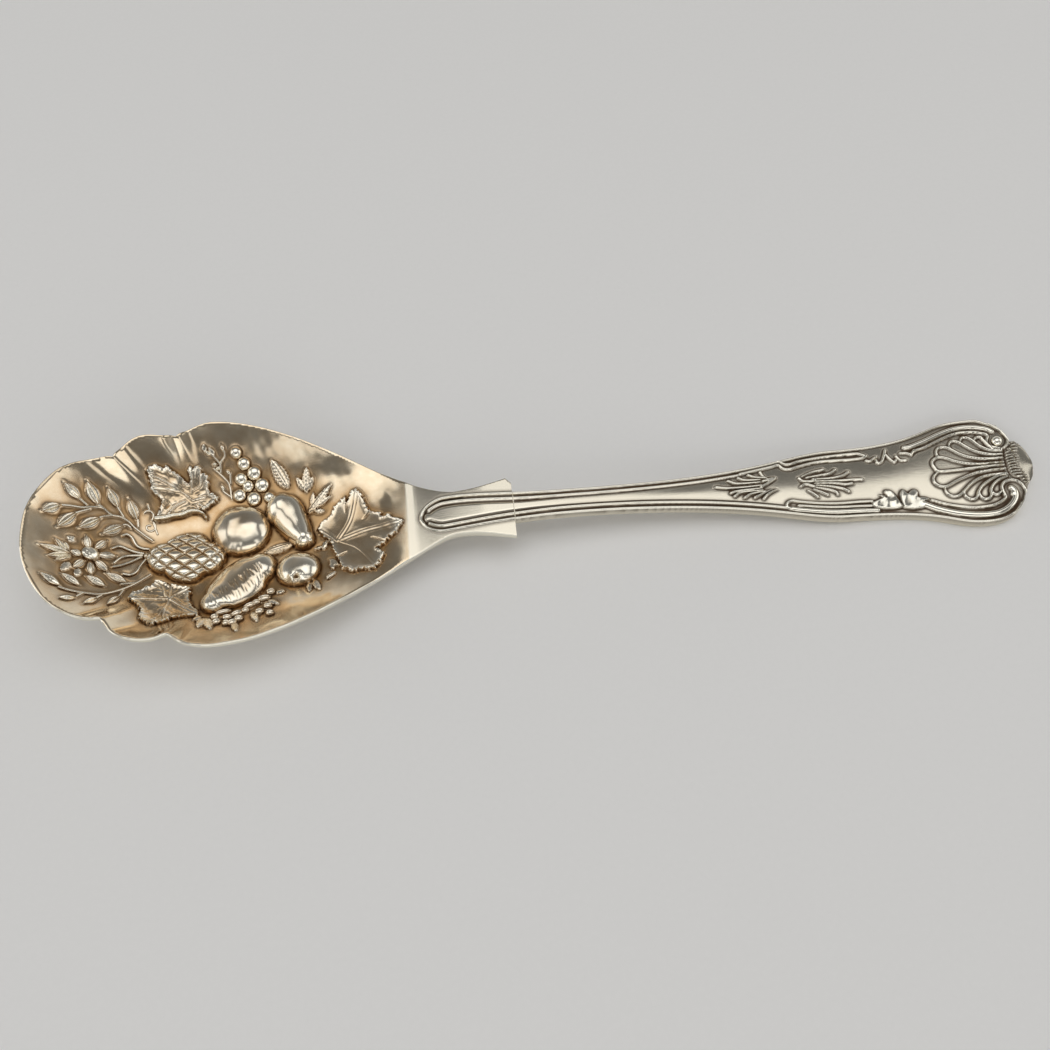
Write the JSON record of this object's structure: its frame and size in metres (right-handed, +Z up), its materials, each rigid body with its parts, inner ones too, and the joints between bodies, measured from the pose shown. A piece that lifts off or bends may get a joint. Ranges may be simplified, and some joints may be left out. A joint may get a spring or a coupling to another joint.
{
  "type": "berry spoon",
  "caption": "Large serving spoon with a gilt bowl scalloped at its tip and embossed with fruit, on a threaded handle that ends in scrolls and a shell.",
  "frame": {"origin": "Centre of the footprint, on the surface that the spoon lies on.", "axes": "+X runs from the tip of the bowl to the end of the handle, +Z points up out of the open bowl, +Y is across."},
  "size_m": [0.21, 0.0524, 0.0184],
  "materials": {
    "gilt_silver": "gilded silver, polished, rubbed back to silver on the high points",
    "silver": "polished silver with fine wear and dark recesses",
    "hard_solder": "filed silver solder line"
  },
  "bodies": {
    "root": {"bowl": "gilt_silver", "handle": "silver", "solder_seam": "hard_solder"}
  },
  "joints": []
}
